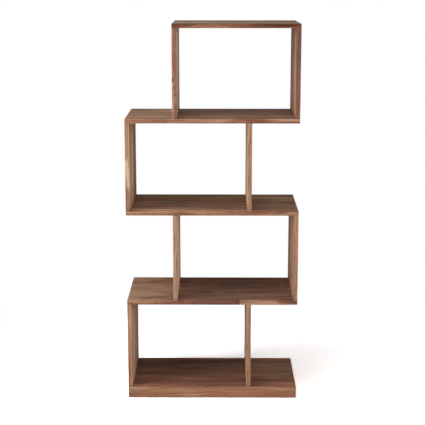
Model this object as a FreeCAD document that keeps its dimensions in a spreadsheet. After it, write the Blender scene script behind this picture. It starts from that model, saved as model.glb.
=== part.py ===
import FreeCAD
import Part
import os
import Sketcher

# Staggered open shelving unit in solid wood.
#
# Four box compartments stand on a deep base and step left and right in turn. The shelves run through from
# end to end, the uprights stand between them on glued dowels, and there is no back panel.
# Millimetres. The origin is on the floor under the middle of the unit, +Z is up and the front faces -Y.

SIZES = {
    # The whole unit
    "overall_width": 700,
    "overall_depth": 360,
    "box_width": 510,              # outside width of each closed compartment
    "clear_height": 357,           # length of an upright, between two boards
    "board_thickness": 18,
    "arris_radius": 1.5,           # sanded round on the edges that a hand meets
    # The base
    "base_height": 46,
    "base_rail_thickness": 32,
    "cross_rail_thickness": 22,
    "tongue_thickness": 6,
    "tongue_length": 8,
    "tongue_clearance": 0.2,       # groove over tongue, on each side
    # Glued dowels
    "dowel_diameter": 8,
    "dowel_length": 35,
    "dowel_chamfer": 1,
    "dowel_cover": 6,              # wood left beyond a dowel hole that enters a board's face
    "dowel_clearance": 0.1,        # hole over dowel, on the diameter
    "glue_gap": 1,                 # room for glue at the bottom of an end-grain hole or a groove
    "dowels_per_joint": 4,
    "dowel_end_margin": 45,        # from the front and back edges to the outer dowels
    # Push-in glides
    "glide_diameter": 22,
    "glide_height": 3,
    "glide_chamfer": 0.6,
    "glide_stem_diameter": 8,
    "glide_stem_length": 18,
    "glide_end_inset": 40,         # from the ends of the base to the glides' centres
}

TIER_COUNT = 4
TIERS = range(1, TIER_COUNT + 1)
SIDES = ("left", "right")

doc = FreeCAD.newDocument("staggered_shelf")
sheet = doc.addObject("Spreadsheet::Sheet", "dims")
for row, (alias, value) in enumerate(SIZES.items(), start=1):
    sheet.set(f"A{row}", alias.replace("_", " "))
    sheet.set(f"B{row}", str(value))
    sheet.setAlias(f"B{row}", alias)
doc.recompute()

# Places worked out from the driving dimensions, as expressions
BASE_TOP = "(dims.glide_height + dims.base_height)"
BASE_PANEL_DEPTH = "(dims.overall_depth - 2 * dims.base_rail_thickness)"
CROSS_RAIL_HEIGHT = "(dims.base_height - dims.board_thickness)"
TONGUE_LIFT = "((dims.board_thickness - dims.tongue_thickness) / 2)"
DOWEL_HOLE = "(dims.dowel_diameter + dims.dowel_clearance)"
BOARD_HOLE_DEPTH = "(dims.board_thickness - dims.dowel_cover)"
DOWEL_IN_END = f"(dims.dowel_length - {BOARD_HOLE_DEPTH})"
END_HOLE_DEPTH = f"({DOWEL_IN_END} + dims.glue_gap)"
FIRST_DOWEL_Y = "(dims.dowel_end_margin - dims.overall_depth / 2)"
DOWEL_ROW_LENGTH = "(dims.overall_depth - 2 * dims.dowel_end_margin)"
GLIDE_ROW_LENGTH = "(dims.overall_width - 2 * dims.glide_end_inset)"


def box_left_end(tier):
    """Left end of a tier's compartment: odd tiers stand at the left, even tiers at the right."""
    if tier % 2:
        return "(-dims.overall_width / 2)"
    return "(dims.overall_width / 2 - dims.box_width)"


def upright_x(tier, side):
    """Middle of an upright's thickness, flush with its compartment's end."""
    if side == "left":
        return f"({box_left_end(tier)} + dims.board_thickness / 2)"
    return f"({box_left_end(tier)} + dims.box_width - dims.board_thickness / 2)"


def foot_level(tier):
    """Height at which a tier's uprights stand."""
    return f"({BASE_TOP} + {tier - 1} * (dims.clear_height + dims.board_thickness))"


def head_level(tier):
    """Height at which a tier's uprights end, under the next board."""
    return f"({foot_level(tier)} + dims.clear_height)"


def new_body(label, x="0", y="0", z="0", rotation=None):
    """Adds a named body that stands at the given place."""
    body = doc.addObject("PartDesign::Body", label)
    body.Label = label
    body.AllowCompound = True
    if rotation is not None:
        body.Placement = FreeCAD.Placement(FreeCAD.Vector(), rotation)
    body.setExpression("Placement.Base.x", x)
    body.setExpression("Placement.Base.y", y)
    body.setExpression("Placement.Base.z", z)
    return body


def origin_part(body, role):
    """The body's own origin plane or axis with that role."""
    return next(item for item in body.Origin.OriginFeatures if item.Role == role)


def new_sketch(body, name, role="XY_Plane", offset="0"):
    """Adds a sketch on one of the body's origin planes, moved along its normal."""
    sketch = body.newObject("Sketcher::SketchObject", name)
    sketch.AttachmentSupport = [(origin_part(body, role), "")]
    sketch.MapMode = "FlatFace"
    sketch.setExpression("AttachmentOffset.Base.z", offset)
    return sketch


def bind(sketch, kind, *arguments):
    """Adds a dimension to a sketch and ties it to an expression, which comes last."""
    *geometry, start, expression = arguments
    index = sketch.addConstraint(Sketcher.Constraint(kind, *geometry, start))
    sketch.setExpression(f"Constraints[{index}]", expression)


def closed_outline(sketch, points):
    """Draws straight lines from point to point and back to the first."""
    corners = [FreeCAD.Vector(x, y, 0) for x, y in points]
    count = len(corners)
    for index in range(count):
        sketch.addGeometry(Part.LineSegment(corners[index], corners[(index + 1) % count]))
    for index in range(count):
        sketch.addConstraint(Sketcher.Constraint("Coincident", index, 2, (index + 1) % count, 1))


def rectangle(sketch, width, height, lift=None):
    """Draws a rectangle about the origin, or about the upright axis with its lower side at lift."""
    closed_outline(sketch, ((-50, 10), (50, 10), (50, 60), (-50, 60)))
    sketch.addConstraint(Sketcher.Constraint("Horizontal", 2))
    for side in (1, 3):
        sketch.addConstraint(Sketcher.Constraint("Vertical", side))
    bind(sketch, "DistanceX", 0, 1, 0, 2, 100, width)
    bind(sketch, "DistanceY", 1, 1, 1, 2, 50, height)
    if lift is None:
        sketch.addConstraint(Sketcher.Constraint("Horizontal", 0))
        sketch.addConstraint(Sketcher.Constraint("Symmetric", 0, 1, 1, 2, -1, 1))
        return
    sketch.addConstraint(Sketcher.Constraint("Symmetric", 0, 1, 0, 2, -2))
    bind(sketch, "DistanceY", -1, 1, 0, 1, 10, lift)


def hole_circle(sketch, diameter, across, along):
    """Draws a circle with its centre at the given place on the sketch."""
    sketch.addGeometry(Part.Circle(FreeCAD.Vector(5, 5, 0), FreeCAD.Vector(0, 0, 1), 4))
    bind(sketch, "Diameter", 0, 8, diameter)
    bind(sketch, "DistanceX", -1, 1, 0, 3, 5, across)
    bind(sketch, "DistanceY", -1, 1, 0, 3, 5, along)


def pad(body, name, sketch, length):
    """Raises a sketch along its normal."""
    feature = body.newObject("PartDesign::Pad", name)
    feature.Profile = sketch
    feature.setExpression("Length", length)
    doc.recompute()
    return feature


def cut(body, name, sketch, depth, along_normal=False):
    """Cuts a sketch into the wood, and stops if the cut misses it."""
    volume = body.Shape.Volume
    feature = body.newObject("PartDesign::Pocket", name)
    feature.Profile = sketch
    feature.Reversed = along_normal
    feature.setExpression("Length", depth)
    doc.recompute()
    if body.Shape.Volume >= volume:
        raise RuntimeError(f"{body.Label}: {name} cuts nothing")
    return feature


def repeat(body, name, feature, axis, length, count):
    """Repeats a feature in a row along one of the body's axes."""
    row = body.newObject("PartDesign::LinearPattern", name)
    row.Originals = [feature]
    row.Direction = (origin_part(body, axis), [""])
    row.setExpression("Length", length)
    row.setExpression("Occurrences", count)
    body.Tip = row
    doc.recompute()
    return row


def ease(body, base, chosen):
    """Rounds the edges of a feature that the test picks out."""
    names = [f"Edge{number}" for number, edge in enumerate(base.Shape.Edges, start=1) if chosen(edge)]
    fillet = body.newObject("PartDesign::Fillet", "Arrises")
    fillet.Base = (base, names)
    fillet.setExpression("Radius", "dims.arris_radius")
    doc.recompute()


def runs_along(edge, axis):
    """Tells whether an edge is parallel to the X, Y or Z axis."""
    return abs(getattr(edge.tangentAt(edge.FirstParameter), axis)) > 0.999


def dowel_holes(body, name, x, level, depth, upwards):
    """Bores one joint's row of dowel holes, front to back, into a face at the given level."""
    sketch = new_sketch(body, f"{name}Sketch", offset=level)
    hole_circle(sketch, DOWEL_HOLE, x, FIRST_DOWEL_Y)
    hole = cut(body, name, sketch, depth, along_normal=upwards)
    repeat(body, f"{name}Row", hole, "Y_Axis", DOWEL_ROW_LENGTH, "dims.dowels_per_joint")


def shelf_board(label, tier, width, centre_x):
    """A board that closes a tier, bored below for its uprights and above for the next tier's."""
    body = new_body(label, x=centre_x, z=head_level(tier))
    sketch = new_sketch(body, "Outline")
    rectangle(sketch, width, "dims.overall_depth")
    blank = pad(body, "Blank", sketch, "dims.board_thickness")
    ease(body, blank, lambda edge: True)
    for side in SIDES:
        x = f"{upright_x(tier, side)} - {centre_x}"
        dowel_holes(body, f"Lower{side.title()}", x, "0", BOARD_HOLE_DEPTH, upwards=True)
    if tier == TIER_COUNT:
        return body
    for side in SIDES:
        x = f"{upright_x(tier + 1, side)} - {centre_x}"
        dowel_holes(body, f"Upper{side.title()}", x, "dims.board_thickness", BOARD_HOLE_DEPTH, upwards=False)
    return body


def upright(tier, side):
    """An upright with square ends, bored at foot and head."""
    body = new_body(f"upright_{tier}_{side}", x=upright_x(tier, side), z=foot_level(tier))
    sketch = new_sketch(body, "Outline")
    rectangle(sketch, "dims.board_thickness", "dims.overall_depth")
    blank = pad(body, "Blank", sketch, "dims.clear_height")
    ease(body, blank, lambda edge: runs_along(edge, "z"))
    dowel_holes(body, "Foot", "0", "0", END_HOLE_DEPTH, upwards=True)
    dowel_holes(body, "Head", "0", "dims.clear_height", END_HOLE_DEPTH, upwards=False)
    return body


def cross_rail_places():
    """Middle of each short base rail: under the two ends and under the lowest divider."""
    half = "dims.overall_width / 2 - dims.cross_rail_thickness / 2"
    return {
        "base_left_rail": f"(-({half}))",
        "base_bearer": upright_x(TIERS[0], "right"),
        "base_right_rail": f"({half})",
    }


def base_panel():
    """The board that tops the base, tongued along its front and back edges."""
    body = new_body("base_panel", z=f"{BASE_TOP} - dims.board_thickness")
    core = new_sketch(body, "CoreOutline")
    rectangle(core, "dims.overall_width", BASE_PANEL_DEPTH)
    pad(body, "Core", core, "dims.board_thickness")
    tongues = new_sketch(body, "TongueOutline", offset=TONGUE_LIFT)
    rectangle(tongues, "dims.overall_width", f"{BASE_PANEL_DEPTH} + 2 * dims.tongue_length")
    blank = pad(body, "Tongues", tongues, "dims.tongue_thickness")
    top = blank.Shape.BoundBox.ZMax
    ease(body, blank, lambda edge: runs_along(edge, "y") and edge.CenterOfMass.z > top - 1e-6)
    for side in SIDES:
        x = upright_x(TIERS[0], side)
        dowel_holes(body, side.title(), x, "dims.board_thickness", BOARD_HOLE_DEPTH, upwards=False)
    return body


def base_long_rail(label, turned):
    """A deep rail, grooved for the panel and bored for the short rails and the glides.

    It is drawn as the front rail, with its inner face on the XZ plane; turned gives the back rail.
    """
    inner_face = "(dims.overall_depth / 2 - dims.base_rail_thickness)"
    if turned:
        half_turn = FreeCAD.Rotation(FreeCAD.Vector(0, 0, 1), 180)
        body = new_body(label, y=inner_face, z="dims.glide_height", rotation=half_turn)
    else:
        body = new_body(label, y=f"-{inner_face}", z="dims.glide_height")
    sketch = new_sketch(body, "Outline", "XZ_Plane")
    rectangle(sketch, "dims.overall_width", "dims.base_height", lift="0")
    blank = pad(body, "Blank", sketch, "dims.base_rail_thickness")
    box = blank.Shape.BoundBox

    def outside(edge):
        on_outer_face = edge.BoundBox.YMax < box.YMin + 1e-6
        on_top_end = runs_along(edge, "y") and edge.CenterOfMass.z > box.ZMax - 1e-6
        return on_outer_face or on_top_end

    ease(body, blank, outside)
    groove = new_sketch(body, "GrooveOutline", "XZ_Plane")
    rectangle(
        groove,
        "dims.overall_width",
        "dims.tongue_thickness + 2 * dims.tongue_clearance",
        lift=f"{CROSS_RAIL_HEIGHT} + {TONGUE_LIFT} - dims.tongue_clearance",
    )
    cut(body, "Groove", groove, "dims.tongue_length + dims.glue_gap", along_normal=True)
    for name, place in cross_rail_places().items():
        across = f"-{place}" if turned else place
        bore = new_sketch(body, f"{name}_bore", "XZ_Plane")
        hole_circle(bore, DOWEL_HOLE, across, f"{CROSS_RAIL_HEIGHT} / 2")
        cut(body, f"{name}_hole", bore, BOARD_HOLE_DEPTH, along_normal=True)
    stem = new_sketch(body, "StemBore")
    hole_circle(
        stem,
        "dims.glide_stem_diameter + dims.dowel_clearance",
        f"-{GLIDE_ROW_LENGTH} / 2",
        "-dims.base_rail_thickness / 2",
    )
    hole = cut(body, "StemHole", stem, "dims.glide_stem_length + dims.glue_gap", along_normal=True)
    repeat(body, "StemHoles", hole, "X_Axis", GLIDE_ROW_LENGTH, "2")
    return body


def base_cross_rail(label, x):
    """A short rail under the panel, bored at both ends."""
    body = new_body(label, x=x, z="dims.glide_height")
    sketch = new_sketch(body, "Outline")
    rectangle(sketch, "dims.cross_rail_thickness", BASE_PANEL_DEPTH)
    pad(body, "Blank", sketch, CROSS_RAIL_HEIGHT)
    bore = new_sketch(body, "EndBore", "XZ_Plane", offset=f"{BASE_PANEL_DEPTH} / 2")
    hole_circle(bore, DOWEL_HOLE, "0", f"{CROSS_RAIL_HEIGHT} / 2")
    hole = cut(body, "EndHole", bore, END_HOLE_DEPTH)
    mirror_to_back(body, hole)
    return body


def mirror_to_back(body, feature):
    """Repeats a feature at the back, across the middle of the depth."""
    mirror = body.newObject("PartDesign::Mirrored", "BackCopy")
    mirror.Originals = [feature]
    mirror.MirrorPlane = (origin_part(body, "XZ_Plane"), [""])
    body.Tip = mirror
    doc.recompute()


def turned_dowel(body, sketch):
    """A chamfered dowel, driven home in a board's face (below) and entering end grain (above)."""
    closed_outline(sketch, ((0, -12), (3, -12), (4, -11), (4, 22), (3, 23), (0, 23)))
    for line in (0, 4):
        sketch.addConstraint(Sketcher.Constraint("Horizontal", line))
    sketch.addConstraint(Sketcher.Constraint("Vertical", 2))
    sketch.addConstraint(Sketcher.Constraint("PointOnObject", 0, 1, -2))
    sketch.addConstraint(Sketcher.Constraint("PointOnObject", 4, 2, -2))
    bind(sketch, "DistanceX", -1, 1, 2, 1, 4, "dims.dowel_diameter / 2")
    bind(sketch, "DistanceX", 1, 1, 1, 2, 1, "dims.dowel_chamfer")
    bind(sketch, "DistanceY", 1, 1, 1, 2, 1, "dims.dowel_chamfer")
    bind(sketch, "DistanceX", 3, 2, 3, 1, 1, "dims.dowel_chamfer")
    bind(sketch, "DistanceY", 3, 1, 3, 2, 1, "dims.dowel_chamfer")
    bind(sketch, "DistanceY", 0, 1, -1, 1, 12, BOARD_HOLE_DEPTH)
    bind(sketch, "DistanceY", -1, 1, 4, 2, 23, DOWEL_IN_END)
    return turn(body, "Dowel", sketch)


def turn(body, name, sketch):
    """Turns a half outline about its sketch's upright axis."""
    feature = body.newObject("PartDesign::Revolution", name)
    feature.Profile = sketch
    feature.ReferenceAxis = (sketch, ["V_Axis"])
    feature.Angle = 360
    doc.recompute()
    return feature


def upright_dowels(tier, side, end):
    """The row of dowels at an upright's foot or head; at the head they point down."""
    level = foot_level(tier)
    rotation = FreeCAD.Rotation()
    if end == "head":
        level = head_level(tier)
        rotation = FreeCAD.Rotation(FreeCAD.Vector(0, 1, 0), 180)
    label = f"upright_{tier}_{side}_{end}_dowels"
    body = new_body(label, x=upright_x(tier, side), y=FIRST_DOWEL_Y, z=level, rotation=rotation)
    dowel = turned_dowel(body, new_sketch(body, "DowelOutline", "XZ_Plane"))
    repeat(body, "DowelRow", dowel, "Y_Axis", DOWEL_ROW_LENGTH, "dims.dowels_per_joint")
    return body


def cross_rail_dowels(rail, x):
    """The two dowels that hold a short base rail between the long ones."""
    body = new_body(f"{rail}_dowels", x=x, z=f"dims.glide_height + {CROSS_RAIL_HEIGHT} / 2")
    sketch = new_sketch(body, "DowelOutline")
    sketch.setExpression("AttachmentOffset.Base.y", f"-{BASE_PANEL_DEPTH} / 2")
    mirror_to_back(body, turned_dowel(body, sketch))
    return body


def glides():
    """Four push-in glides, each a chamfered disc with a stem, under the ends of the long rails."""
    body = new_body(
        "glides",
        x=f"-{GLIDE_ROW_LENGTH} / 2",
        y="-(dims.overall_depth - dims.base_rail_thickness) / 2",
    )
    sketch = new_sketch(body, "GlideOutline", "XZ_Plane")
    closed_outline(sketch, ((0, 0), (10, 0), (11, 1), (11, 3), (4, 3), (4, 21), (0, 21)))
    for line in (0, 3, 5):
        sketch.addConstraint(Sketcher.Constraint("Horizontal", line))
    for line in (2, 4, 6):
        sketch.addConstraint(Sketcher.Constraint("Vertical", line))
    sketch.addConstraint(Sketcher.Constraint("Coincident", 0, 1, -1, 1))
    bind(sketch, "DistanceX", -1, 1, 2, 1, 11, "dims.glide_diameter / 2")
    bind(sketch, "DistanceX", 1, 1, 1, 2, 1, "dims.glide_chamfer")
    bind(sketch, "DistanceY", 1, 1, 1, 2, 1, "dims.glide_chamfer")
    bind(sketch, "DistanceY", -1, 1, 2, 2, 3, "dims.glide_height")
    bind(sketch, "DistanceX", -1, 1, 4, 1, 4, "dims.glide_stem_diameter / 2")
    bind(sketch, "DistanceY", 4, 1, 4, 2, 18, "dims.glide_stem_length")
    row = repeat(body, "GlideRows", turn(body, "Glide", sketch), "X_Axis", GLIDE_ROW_LENGTH, "2")
    row.Direction2 = (origin_part(body, "Y_Axis"), [""])
    row.setExpression("Length2", "dims.overall_depth - dims.base_rail_thickness")
    row.Occurrences2 = 2
    doc.recompute()
    return body


def build():
    """Makes every piece and returns them."""
    pieces = [base_panel(), base_long_rail("base_front_rail", False), base_long_rail("base_back_rail", True)]
    for rail, x in cross_rail_places().items():
        pieces.append(base_cross_rail(rail, x))
        pieces.append(cross_rail_dowels(rail, x))
    for tier in TIERS[:-1]:
        pieces.append(shelf_board(f"shelf_{tier}", tier, "dims.overall_width", "0"))
    top_centre = f"({box_left_end(TIER_COUNT)} + dims.box_width / 2)"
    pieces.append(shelf_board("top_board", TIER_COUNT, "dims.box_width", top_centre))
    for tier in TIERS:
        for side in SIDES:
            pieces.append(upright(tier, side))
            for end in ("foot", "head"):
                pieces.append(upright_dowels(tier, side, end))
    pieces.append(glides())
    doc.recompute()
    return pieces


def check(pieces):
    """Stops if any object failed or any piece has no sound shape."""
    for item in doc.Objects:
        if {"Invalid", "Error"} & set(item.State):
            raise RuntimeError(f"{item.Label} failed: {item.State}")
    for piece in pieces:
        if piece.Shape.isNull() or not piece.Shape.isValid():
            raise RuntimeError(f"{piece.Label} has no valid shape")


pieces = build()
check(pieces)
os.makedirs("parts", exist_ok=True)
for piece in pieces:
    piece.Shape.exportStep(f"parts/{piece.Label}.step")
    print(piece.Label, len(piece.Shape.Solids), "solids", round(piece.Shape.Volume), "mm3")
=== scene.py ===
# %% [markdown]
# A staggered wooden display shelf.
#
# Four open boxes step left and right above a deep base. The solid model of the shelf is already packed,
# in metres, with the floor at height zero and the front facing -Y. This lesson dresses it: each board
# gets its own slightly uneven surface and its own run of streaky, oiled hardwood.

# %% Load the solid model
import math
from typing import NamedTuple
import bpy
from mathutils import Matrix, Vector


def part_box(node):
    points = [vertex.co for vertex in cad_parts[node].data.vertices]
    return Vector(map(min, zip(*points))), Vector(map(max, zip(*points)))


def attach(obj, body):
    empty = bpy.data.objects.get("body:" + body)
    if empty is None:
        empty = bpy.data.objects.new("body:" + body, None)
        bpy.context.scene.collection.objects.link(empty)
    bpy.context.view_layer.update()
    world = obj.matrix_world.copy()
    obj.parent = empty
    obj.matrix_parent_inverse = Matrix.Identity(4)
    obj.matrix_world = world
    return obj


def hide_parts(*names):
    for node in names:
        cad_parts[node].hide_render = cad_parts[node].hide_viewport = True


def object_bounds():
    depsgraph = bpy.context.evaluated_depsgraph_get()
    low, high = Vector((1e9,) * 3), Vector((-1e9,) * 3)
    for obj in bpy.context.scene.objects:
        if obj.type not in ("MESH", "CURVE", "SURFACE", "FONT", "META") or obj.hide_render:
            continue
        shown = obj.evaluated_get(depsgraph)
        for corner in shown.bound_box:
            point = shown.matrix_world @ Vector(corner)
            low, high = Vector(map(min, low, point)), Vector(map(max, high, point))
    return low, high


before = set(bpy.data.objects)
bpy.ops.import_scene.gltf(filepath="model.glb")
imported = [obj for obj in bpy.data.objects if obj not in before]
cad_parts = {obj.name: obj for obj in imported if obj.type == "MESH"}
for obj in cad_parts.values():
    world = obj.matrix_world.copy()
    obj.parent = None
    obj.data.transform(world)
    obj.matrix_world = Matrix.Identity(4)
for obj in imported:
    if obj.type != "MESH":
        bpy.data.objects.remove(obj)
cad_low, cad_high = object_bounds()
FRONT = cad_low.y
TIERS = (1, 2, 3, 4)
SIDES = ("left", "right")
UPRIGHTS = [f"upright_{tier}_{side}" for tier in TIERS for side in SIDES]
SHELVES = ["shelf_1", "shelf_2", "shelf_3", "top_board"]
print("The shelf is", round(cad_high.z, 3), "m tall and has", len(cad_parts), "named pieces.")

# %% [markdown]
# The camera. A shelf this plain is read through its perspective, so the camera stands about where the
# photographer stood, a little further back: just right of the middle and above the top board, looking
# down by about eleven degrees. A long lens keeps the uprights nearly parallel. A small downward shift
# sets the shelf in the middle of the picture, as a shift lens does in a studio.

# %% Camera
FRAME_PIXELS = 425
FOCAL_PIXELS = 1091.0
SENSOR_WIDTH = 36.0
LENS_SHIFT = -0.03
CAMERA_SIDE = 0.0262
CAMERA_DISTANCE = 4.312
CAMERA_HEIGHT = 1.720
# Angles in radians, down and to the left
CAMERA_PITCH = 0.1997
CAMERA_YAW = -0.0058

camera_data = bpy.data.cameras.new("camera")
camera_data.sensor_width = SENSOR_WIDTH
camera_data.lens = SENSOR_WIDTH * FOCAL_PIXELS / FRAME_PIXELS
camera_data.shift_y = LENS_SHIFT
camera = bpy.data.objects.new("camera", camera_data)
camera.location = (CAMERA_SIDE, FRONT - CAMERA_DISTANCE, CAMERA_HEIGHT)
look = Vector((
    math.sin(CAMERA_YAW) * math.cos(CAMERA_PITCH),
    math.cos(CAMERA_YAW) * math.cos(CAMERA_PITCH),
    -math.sin(CAMERA_PITCH),
))
camera.rotation_euler = look.to_track_quat("-Z", "Y").to_euler()
bpy.context.scene.collection.objects.link(camera)
bpy.context.scene.camera = camera
print("The lens is", round(camera_data.lens), "mm long.")

# %% [markdown]
# Wiring nodes by script. Geometry trees and shader trees take the same arithmetic nodes, so one small
# helper serves both: it adds a node, and links what comes in or writes it down as a plain number.

# %% A helper for node trees
# A Mix node keeps sockets for every kind of data. These are the places of those for colours.
MIX_SHARE, MIX_FIRST, MIX_SECOND, MIX_RESULT = 0, 6, 7, 2


class Wiring:
    """Adds nodes to one tree. A value that goes into a node may be another node's output or a number."""

    def __init__(self, tree):
        self.tree = tree

    def feed(self, socket, value):
        """Links an output to a socket, or writes a plain value on it."""
        if isinstance(value, bpy.types.NodeSocket):
            self.tree.links.new(value, socket)
        else:
            socket.default_value = value

    def node(self, kind, inputs=None, **settings):
        """Adds a node, makes its settings, and feeds the inputs that are named."""
        made = self.tree.nodes.new(kind)
        for name, value in settings.items():
            setattr(made, name, value)
        for name, value in (inputs or {}).items():
            self.feed(made.inputs[name], value)
        return made

    def math(self, operation, *values):
        """One step of arithmetic with numbers."""
        made = self.node("ShaderNodeMath", operation=operation)
        for socket, value in zip(made.inputs, values):
            self.feed(socket, value)
        return made.outputs[0]

    def vector(self, operation, *values):
        """One step of arithmetic with vectors. A length comes out as a number."""
        made = self.node("ShaderNodeVectorMath", operation=operation)
        sockets = list(made.inputs)
        if operation == "SCALE":
            sockets = [made.inputs["Vector"], made.inputs["Scale"]]
        for socket, value in zip(sockets, values):
            self.feed(socket, value)
        return made.outputs["Value" if operation == "LENGTH" else "Vector"]

    def split(self, vector):
        """The three numbers of a vector."""
        made = self.node("ShaderNodeSeparateXYZ", {"Vector": vector})
        return [made.outputs[axis] for axis in "XYZ"]

    def join(self, x, y, z):
        """A vector of three numbers."""
        return self.node("ShaderNodeCombineXYZ", {"X": x, "Y": y, "Z": z}).outputs["Vector"]

    def noise(self, vector, detail=2.0, roughness=0.5):
        """A soft noise about one unit across, from zero to one."""
        made = self.node(
            "ShaderNodeTexNoise",
            {"Vector": vector, "Scale": 1.0, "Detail": detail, "Roughness": roughness},
        )
        return made.outputs[0]

    def smooth(self, value, zero_at, one_at):
        """Goes softly from zero at one number to one at another, which may be the smaller."""
        made = self.node(
            "ShaderNodeMapRange",
            {"Value": value, "From Min": zero_at, "From Max": one_at},
            interpolation_type="SMOOTHSTEP",
        )
        return made.outputs["Result"]

    def mix_colour(self, share, first, second):
        """The first colour, with a share of the second."""
        made = self.node("ShaderNodeMix", data_type="RGBA")
        self.feed(made.inputs[MIX_SHARE], share)
        self.feed(made.inputs[MIX_FIRST], first)
        self.feed(made.inputs[MIX_SECOND], second)
        return made.outputs[MIX_RESULT]


def add_socket(tree, name, kind, value=None, out=False):
    """Gives a tree one named input or output."""
    socket = tree.interface.new_socket(name, in_out="OUTPUT" if out else "INPUT", socket_type=kind)
    if value is not None:
        socket.default_value = value


print("One helper wires the geometry tree and the materials.")

# %% [markdown]
# The boards. Every shelf and upright is the same thing: a flat board, sawn to size, sanded, and eased
# along its edges. A cube with a bevel would give the size, but its faces would be dead flat, and no
# sanded board is. So a Geometry Nodes tree makes the board from its size, out of a cube of many rows. The
# helpers here send those rows to their places: evenly over the flat, then a support row, then a few close
# rows for the eased edge, which joiners call the arris.

# %% Rows of a board
ARRIS_ROWS = 2
SUPPORT = 0.001
ROW_SPACING = 0.018
ZERO = (0.0, 0.0, 0.0)
ONE = (1.0, 1.0, 1.0)


def ramp(wire, share, start, stop, height):
    """Rises evenly from zero to a height while the share goes from start to stop."""
    gone = wire.vector("SUBTRACT", share, start)
    done = wire.vector("DIVIDE", gone, wire.vector("SUBTRACT", stop, start))
    held = wire.vector("MINIMUM", wire.vector("MAXIMUM", done, ZERO), ONE)
    return wire.vector("MULTIPLY", held, height)


def board_rows(wire, given, core, radius):
    """A cube with enough rows, and the place of each of its points on a board with sharp edges."""
    support = wire.vector("SCALE", given["Rounded"], SUPPORT)
    flat_rows = wire.vector("CEIL", wire.vector("DIVIDE", given["Size"], (ROW_SPACING,) * 3))
    arris_rows = wire.vector("SCALE", given["Rounded"], 2.0 * ARRIS_ROWS)
    edge_rows = wire.vector("SCALE", given["Rounded"], 2.0 * (ARRIS_ROWS + 1))
    all_rows = wire.vector("ADD", flat_rows, edge_rows)
    cube = wire.node("GeometryNodeMeshCube", {"Size": (2.0, 2.0, 2.0)})
    for axis, count in zip("XYZ", wire.split(all_rows)):
        wire.feed(cube.inputs[f"Vertices {axis}"], wire.math("ADD", count, 1.0))
    # How far out the flat ends and the arris starts, as shares of the way from the middle to the edge
    flat_share = wire.vector("SUBTRACT", ONE, wire.vector("DIVIDE", edge_rows, all_rows))
    arris_share = wire.vector("SUBTRACT", ONE, wire.vector("DIVIDE", arris_rows, all_rows))
    row = wire.node("GeometryNodeInputPosition").outputs[0]
    share = wire.vector("ABSOLUTE", row)
    reach = ramp(wire, share, ZERO, flat_share, wire.vector("SUBTRACT", core, support))
    reach = wire.vector("ADD", reach, ramp(wire, share, flat_share, arris_share, support))
    reach = wire.vector("ADD", reach, ramp(wire, share, arris_share, ONE, radius))
    return cube.outputs["Mesh"], wire.vector("MULTIPLY", wire.vector("SIGN", row), reach)


print("A board has a row about every", ROW_SPACING * 1000, "mm.")

# %% [markdown]
# The sanded surface. Inside each board lies a core, smaller by the radius of the arris. A point outside
# the core is set at that radius from the core's nearest point, which rounds the edges. On the way it
# sinks here and there by a fraction of a millimetre, as a slow noise says. A bump in the material would
# only shade that, while this is in the exported mesh too. Sinking never makes a board larger than its
# size, so the dressed shelf still fits its solid model.

# %% Eased and sanded surface
ARRIS = 0.0015
UNEVENNESS = 0.0004
WAVES_PER_METRE = 9.0


def sanded_place(wire, given, place, core):
    """Where a point of the sharp board ends up once its edge is eased and its face is sanded."""
    nearest = wire.vector("MINIMUM", place, core)
    nearest = wire.vector("MAXIMUM", nearest, wire.vector("SCALE", core, -1.0))
    out = wire.vector("SUBTRACT", place, nearest)
    x, y, z = wire.split(wire.vector("ABSOLUTE", out))
    depth = wire.math("MAXIMUM", wire.math("MAXIMUM", x, y), z)
    waves = wire.vector("SCALE", place, WAVES_PER_METRE)
    waves = wire.vector("ADD", waves, wire.join(given["Seed"], 0.0, 0.0))
    sink = wire.math("MULTIPLY", wire.noise(waves, detail=3.0), given["Unevenness"])
    way = wire.vector("NORMALIZE", out)
    return wire.vector("ADD", nearest, wire.vector("SCALE", way, wire.math("SUBTRACT", depth, sink)))


def eased_board_tree():
    """Builds the geometry tree that makes any board from its size."""
    tree = bpy.data.node_groups.new("eased_board", "GeometryNodeTree")
    add_socket(tree, "Board", "NodeSocketGeometry", out=True)
    add_socket(tree, "Centre", "NodeSocketVector")
    add_socket(tree, "Size", "NodeSocketVector")
    add_socket(tree, "Rounded", "NodeSocketVector")
    add_socket(tree, "Arris", "NodeSocketFloat", ARRIS)
    add_socket(tree, "Unevenness", "NodeSocketFloat", UNEVENNESS)
    add_socket(tree, "Seed", "NodeSocketFloat", 0.0)
    add_socket(tree, "Finish", "NodeSocketMaterial")
    wire = Wiring(tree)
    given = wire.node("NodeGroupInput").outputs
    radius = wire.vector("SCALE", given["Rounded"], given["Arris"])
    core = wire.vector("SUBTRACT", wire.vector("SCALE", given["Size"], 0.5), radius)
    mesh, place = board_rows(wire, given, core, radius)
    place = wire.vector("ADD", sanded_place(wire, given, place, core), given["Centre"])
    moved = wire.node("GeometryNodeSetPosition", {"Geometry": mesh, "Position": place})
    smooth = wire.node("GeometryNodeSetShadeSmooth", {"Geometry": moved.outputs[0]})
    real = wire.node("GeometryNodeRealizeInstances", {"Geometry": smooth.outputs[0]})
    finish = {"Geometry": real.outputs[0], "Material": given["Finish"]}
    painted = wire.node("GeometryNodeSetMaterial", finish)
    wire.feed(wire.node("NodeGroupOutput").inputs["Board"], painted.outputs[0])
    return tree


board_tree = eased_board_tree()
print("The board tree has", len(board_tree.nodes), "nodes.")

# %% [markdown]
# The wood. Streaky hardwood is easiest to believe when it is solid all the way through, so its colour
# isn't painted on faces: it is worked out from the place inside the board, and edges, faces and ends
# agree where they meet. In a board's own frame X runs along the grain, Y across the board and Z through
# it. Each board is glued up from staves, so the first step finds the stave that a point lies in, and
# gives that stave three random numbers of its own.

# %% A point in the wood
STAVE_SPREAD = 40.0


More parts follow.
